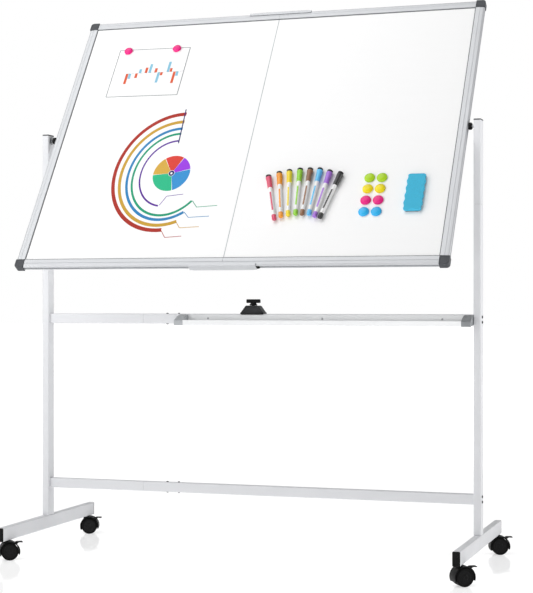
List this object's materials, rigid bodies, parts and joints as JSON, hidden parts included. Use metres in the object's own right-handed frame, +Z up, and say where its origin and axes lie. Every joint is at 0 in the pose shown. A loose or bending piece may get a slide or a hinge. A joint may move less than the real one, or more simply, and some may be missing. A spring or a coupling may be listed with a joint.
{
  "type": "rolling whiteboard",
  "caption": "Two-sided whiteboard with an aluminium frame that turns between two uprights on a wheeled stand with cross beams, a pen tray and a latch.",
  "frame": {"origin": "on the floor, midway between the uprights and straight below the board's pivot line", "axes": "+Z up; +X to the right of a person who stands at the writing side; -Y towards that person"},
  "size_m": [1.3434, 0.5956, 1.5723],
  "materials": {
    "white_powder": "light silver-white powder coat, satin",
    "silver_profile": "satin anodised",
    "white_enamel": "glossy dry-wipe enamel",
    "board_core": "honeycomb core, closed edges",
    "slate_plastic": "moulded, fine texture",
    "black_plastic": "moulded, fine texture",
    "grey_plastic": "moulded, fine texture",
    "zinc_steel": "zinc plated",
    "black_rubber": "moulded tread, matt"
  },
  "bodies": {
    "stand": {"upright_lower_left": "white_powder", "upright_upper_left": "white_powder", "upright_spigot_left": "zinc_steel", "upright_cap_left": "black_plastic", "foot_left": "white_powder", "foot_plug_front_left": "black_plastic", "foot_plug_rear_left": "black_plastic", "pivot_bolt_left": "zinc_steel", "upright_lower_right": "white_powder", "upright_upper_right": "white_powder", "upright_spigot_right": "zinc_steel", "upright_cap_right": "black_plastic", "foot_right": "white_powder", "foot_plug_front_right": "black_plastic", "foot_plug_rear_right": "black_plastic", "pivot_bolt_right": "zinc_steel", "mid_beam_short": "white_powder", "mid_beam_long": "white_powder", "mid_beam_sleeve": "zinc_steel", "low_beam_short": "white_powder", "low_beam_long": "white_powder", "low_beam_sleeve": "zinc_steel", "pen_tray": "silver_profile", "tray_end_left": "grey_plastic", "tray_end_right": "slate_plastic", "latch_base": "black_plastic"},
    "latch_handle": {"latch_handle": "slate_plastic"},
    "board": {"core_left": "board_core", "skin_front_left": "white_enamel", "skin_back_left": "white_enamel", "stile_left": "silver_profile", "rail_top_left": "silver_profile", "rail_bottom_left": "silver_profile", "corner_top_left": "slate_plastic", "corner_bottom_left": "slate_plastic", "pivot_collar_left": "black_plastic", "core_right": "board_core", "skin_front_right": "white_enamel", "skin_back_right": "white_enamel", "stile_right": "silver_profile", "rail_top_right": "silver_profile", "rail_bottom_right": "silver_profile", "corner_top_right": "slate_plastic", "corner_bottom_right": "slate_plastic", "pivot_collar_right": "black_plastic", "splice_clip_top": "silver_profile", "splice_clip_bottom": "silver_profile", "clip_catch": "black_plastic"},
    "caster_front_left": {"caster_hood_front_left": "black_plastic"},
    "wheels_front_left": {"caster_wheels_front_left": "black_rubber"},
    "brake_front_left": {"caster_brake_front_left": "black_plastic"},
    "caster_front_right": {"caster_hood_front_right": "black_plastic"},
    "wheels_front_right": {"caster_wheels_front_right": "black_rubber"},
    "brake_front_right": {"caster_brake_front_right": "black_plastic"},
    "caster_rear_left": {"caster_hood_rear_left": "black_plastic"},
    "wheels_rear_left": {"caster_wheels_rear_left": "black_rubber"},
    "brake_rear_left": {"caster_brake_rear_left": "black_plastic"},
    "caster_rear_right": {"caster_hood_rear_right": "black_plastic"},
    "wheels_rear_right": {"caster_wheels_rear_right": "black_rubber"},
    "brake_rear_right": {"caster_brake_rear_right": "black_plastic"}
  },
  "joints": [
    {"name": "board_tilt", "type": "hinge", "parent": "stand", "child": "board", "pos_m": [0, 0, 1.185], "axis": [1, 0, 0], "continuous": true},
    {"name": "latch_turn", "type": "hinge", "parent": "stand", "child": "latch_handle", "pos_m": [0, 0, 0.7], "axis": [0, 0, 1], "range_deg": [0, 90]},
    {"name": "swivel_front_left", "type": "hinge", "parent": "stand", "child": "caster_front_left", "pos_m": [-0.6355, -0.263, 0.054], "axis": [0, 0, 1], "continuous": true},
    {"name": "roll_front_left", "type": "hinge", "parent": "caster_front_left", "child": "wheels_front_left", "pos_m": [-0.62721, -0.25741, 0.024], "axis": [-0.5592, 0.829, 0], "continuous": true},
    {"name": "brake_press_front_left", "type": "hinge", "parent": "caster_front_left", "child": "brake_front_left", "pos_m": [-0.61229, -0.24734, 0.04545], "axis": [-0.5592, 0.829, 0], "range_deg": [0, 9]},
    {"name": "swivel_front_right", "type": "hinge", "parent": "stand", "child": "caster_front_right", "pos_m": [0.6355, -0.263, 0.054], "axis": [0, 0, 1], "continuous": true},
    {"name": "roll_front_right", "type": "hinge", "parent": "caster_front_right", "child": "wheels_front_right", "pos_m": [0.64379, -0.25741, 0.024], "axis": [-0.5592, 0.829, 0], "continuous": true},
    {"name": "brake_press_front_right", "type": "hinge", "parent": "caster_front_right", "child": "brake_front_right", "pos_m": [0.65871, -0.24734, 0.04545], "axis": [-0.5592, 0.829, 0], "range_deg": [0, 9]},
    {"name": "swivel_rear_left", "type": "hinge", "parent": "stand", "child": "caster_rear_left", "pos_m": [-0.6355, 0.263, 0.054], "axis": [0, 0, 1], "continuous": true},
    {"name": "roll_rear_left", "type": "hinge", "parent": "caster_rear_left", "child": "wheels_rear_left", "pos_m": [-0.6261, 0.26642, 0.024], "axis": [-0.342, 0.9397, 0], "continuous": true},
    {"name": "brake_press_rear_left", "type": "hinge", "parent": "caster_rear_left", "child": "brake_rear_left", "pos_m": [-0.60919, 0.27258, 0.04545], "axis": [-0.342, 0.9397, 0], "range_deg": [0, 9]},
    {"name": "swivel_rear_right", "type": "hinge", "parent": "stand", "child": "caster_rear_right", "pos_m": [0.6355, 0.263, 0.054], "axis": [0, 0, 1], "continuous": true},
    {"name": "roll_rear_right", "type": "hinge", "parent": "caster_rear_right", "child": "wheels_rear_right", "pos_m": [0.6449, 0.26642, 0.024], "axis": [-0.342, 0.9397, 0], "continuous": true},
    {"name": "brake_press_rear_right", "type": "hinge", "parent": "caster_rear_right", "child": "brake_rear_right", "pos_m": [0.66181, 0.27258, 0.04545], "axis": [-0.342, 0.9397, 0], "range_deg": [0, 9]}
  ]
}
